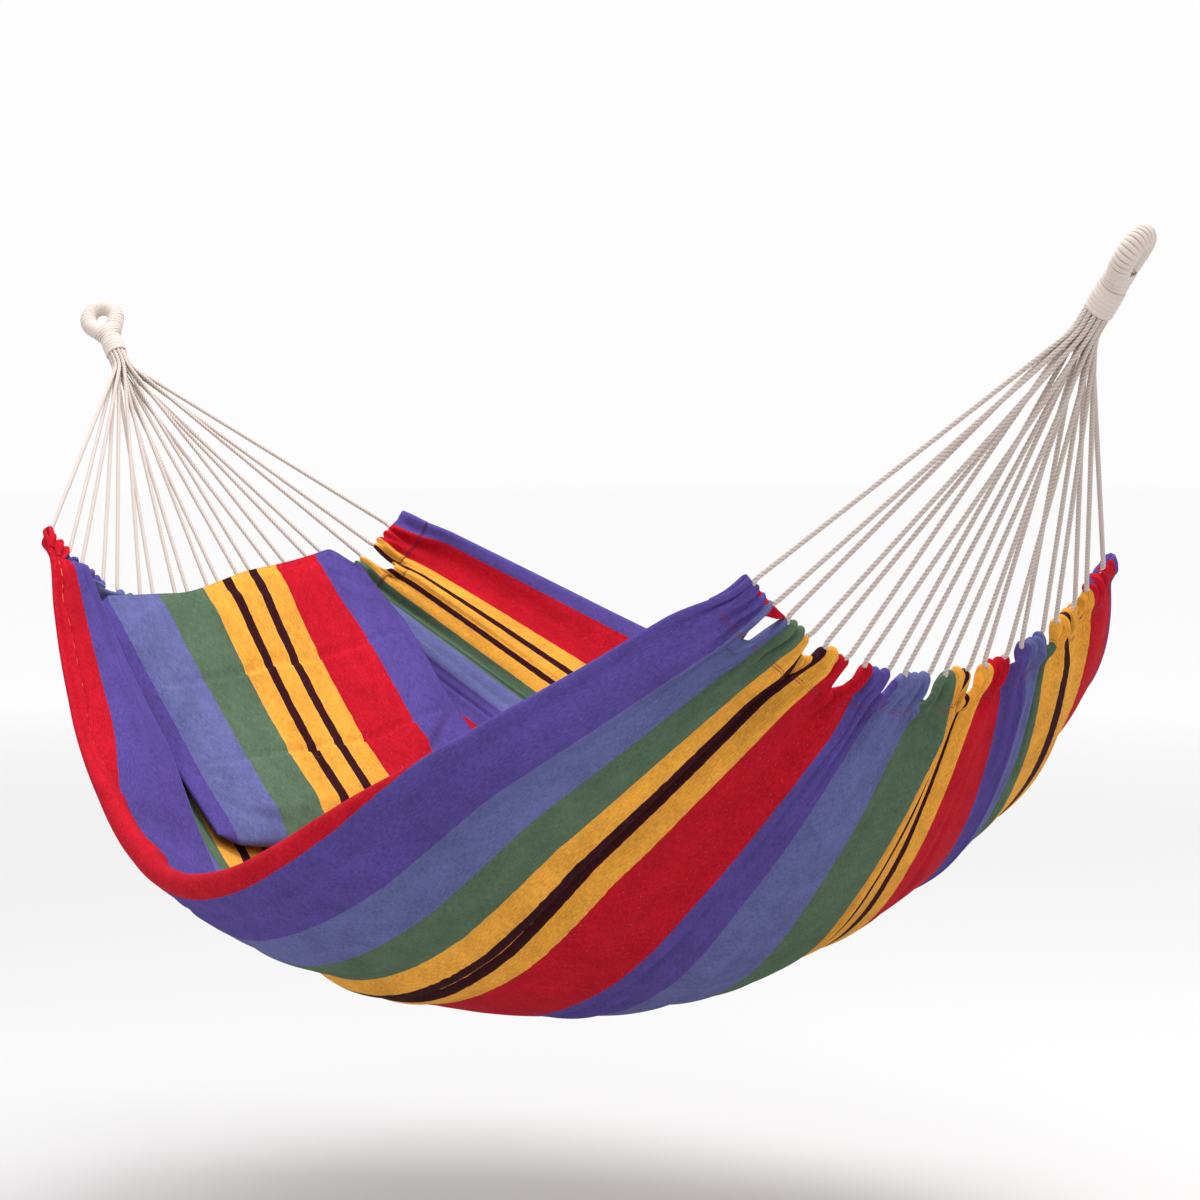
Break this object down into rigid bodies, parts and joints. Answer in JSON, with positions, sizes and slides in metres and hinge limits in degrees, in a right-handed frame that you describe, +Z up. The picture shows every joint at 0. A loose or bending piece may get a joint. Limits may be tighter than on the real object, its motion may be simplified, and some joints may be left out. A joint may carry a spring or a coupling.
{
  "type": "hammock",
  "caption": "Striped cloth hammock hung from two whipped rope eyes by fans of clew cords, with channel hems at both ends, rolled selvedges and a pillow.",
  "frame": {"origin": "hang point of the head eye: the top of the hole inside its rope loop, where a hook bears", "axes": "+X from the head eye to the foot eye along the hammock, +Y across the bed, +Z up"},
  "size_m": [2.4058, 1.3542, 1.0556],
  "materials": {
    "striped_cotton_cloth": "striped woven cotton in red, indigo, steel blue, green, golden yellow and dark brown, matt and slightly flecked",
    "cream_cotton_rope": "cream cotton rope of three twisted strands, matt",
    "whipping_cord": "cream cotton cord wound in close turns, matt",
    "fibre_filling": "loose white polyester fibre, matt"
  },
  "bodies": {
    "head_eye": {"head_eye_core": "cream_cotton_rope", "head_eye_whipping": "whipping_cord", "head_neck_binding": "whipping_cord"},
    "bed": {"bed_cloth": "striped_cotton_cloth", "head_hem": "striped_cotton_cloth", "foot_hem": "striped_cotton_cloth", "near_selvedge_hem": "striped_cotton_cloth", "far_selvedge_hem": "striped_cotton_cloth", "head_clew_01": "cream_cotton_rope", "head_clew_02": "cream_cotton_rope", "head_clew_03": "cream_cotton_rope", "head_clew_04": "cream_cotton_rope", "head_clew_05": "cream_cotton_rope", "head_clew_06": "cream_cotton_rope", "head_clew_07": "cream_cotton_rope", "head_clew_08": "cream_cotton_rope", "head_clew_09": "cream_cotton_rope", "head_clew_10": "cream_cotton_rope", "foot_clew_01": "cream_cotton_rope", "foot_clew_02": "cream_cotton_rope", "foot_clew_03": "cream_cotton_rope", "foot_clew_04": "cream_cotton_rope", "foot_clew_05": "cream_cotton_rope", "foot_clew_06": "cream_cotton_rope", "foot_clew_07": "cream_cotton_rope", "foot_clew_08": "cream_cotton_rope", "foot_clew_09": "cream_cotton_rope", "foot_clew_10": "cream_cotton_rope"},
    "foot_eye": {"foot_eye_core": "cream_cotton_rope", "foot_eye_whipping": "whipping_cord", "foot_neck_binding": "whipping_cord"},
    "pillow": {"pillow_cover": "striped_cotton_cloth", "pillow_filling": "fibre_filling", "pillow_side_seams": "striped_cotton_cloth"}
  },
  "joints": [
    {"name": "bed_swing", "type": "hinge", "parent": "head_eye", "child": "bed", "pos_m": [0.05727, 0, -0.072], "axis": [1, 0, 0], "range_deg": [-30, 30]},
    {"name": "foot_eye_flex", "type": "hinge", "parent": "bed", "child": "foot_eye", "pos_m": [2.29727, 0, -0.072], "axis": [1, 0, 0], "range_deg": [-30, 30]},
    {"name": "pillow_lift", "type": "slide", "parent": "bed", "child": "pillow", "axis": [0.5, 0, 0.866], "range_m": [0, 0.3]}
  ],
  "couplings": [
    {"joint": "foot_eye_flex", "follows": "bed_swing", "ratio": -1}
  ]
}
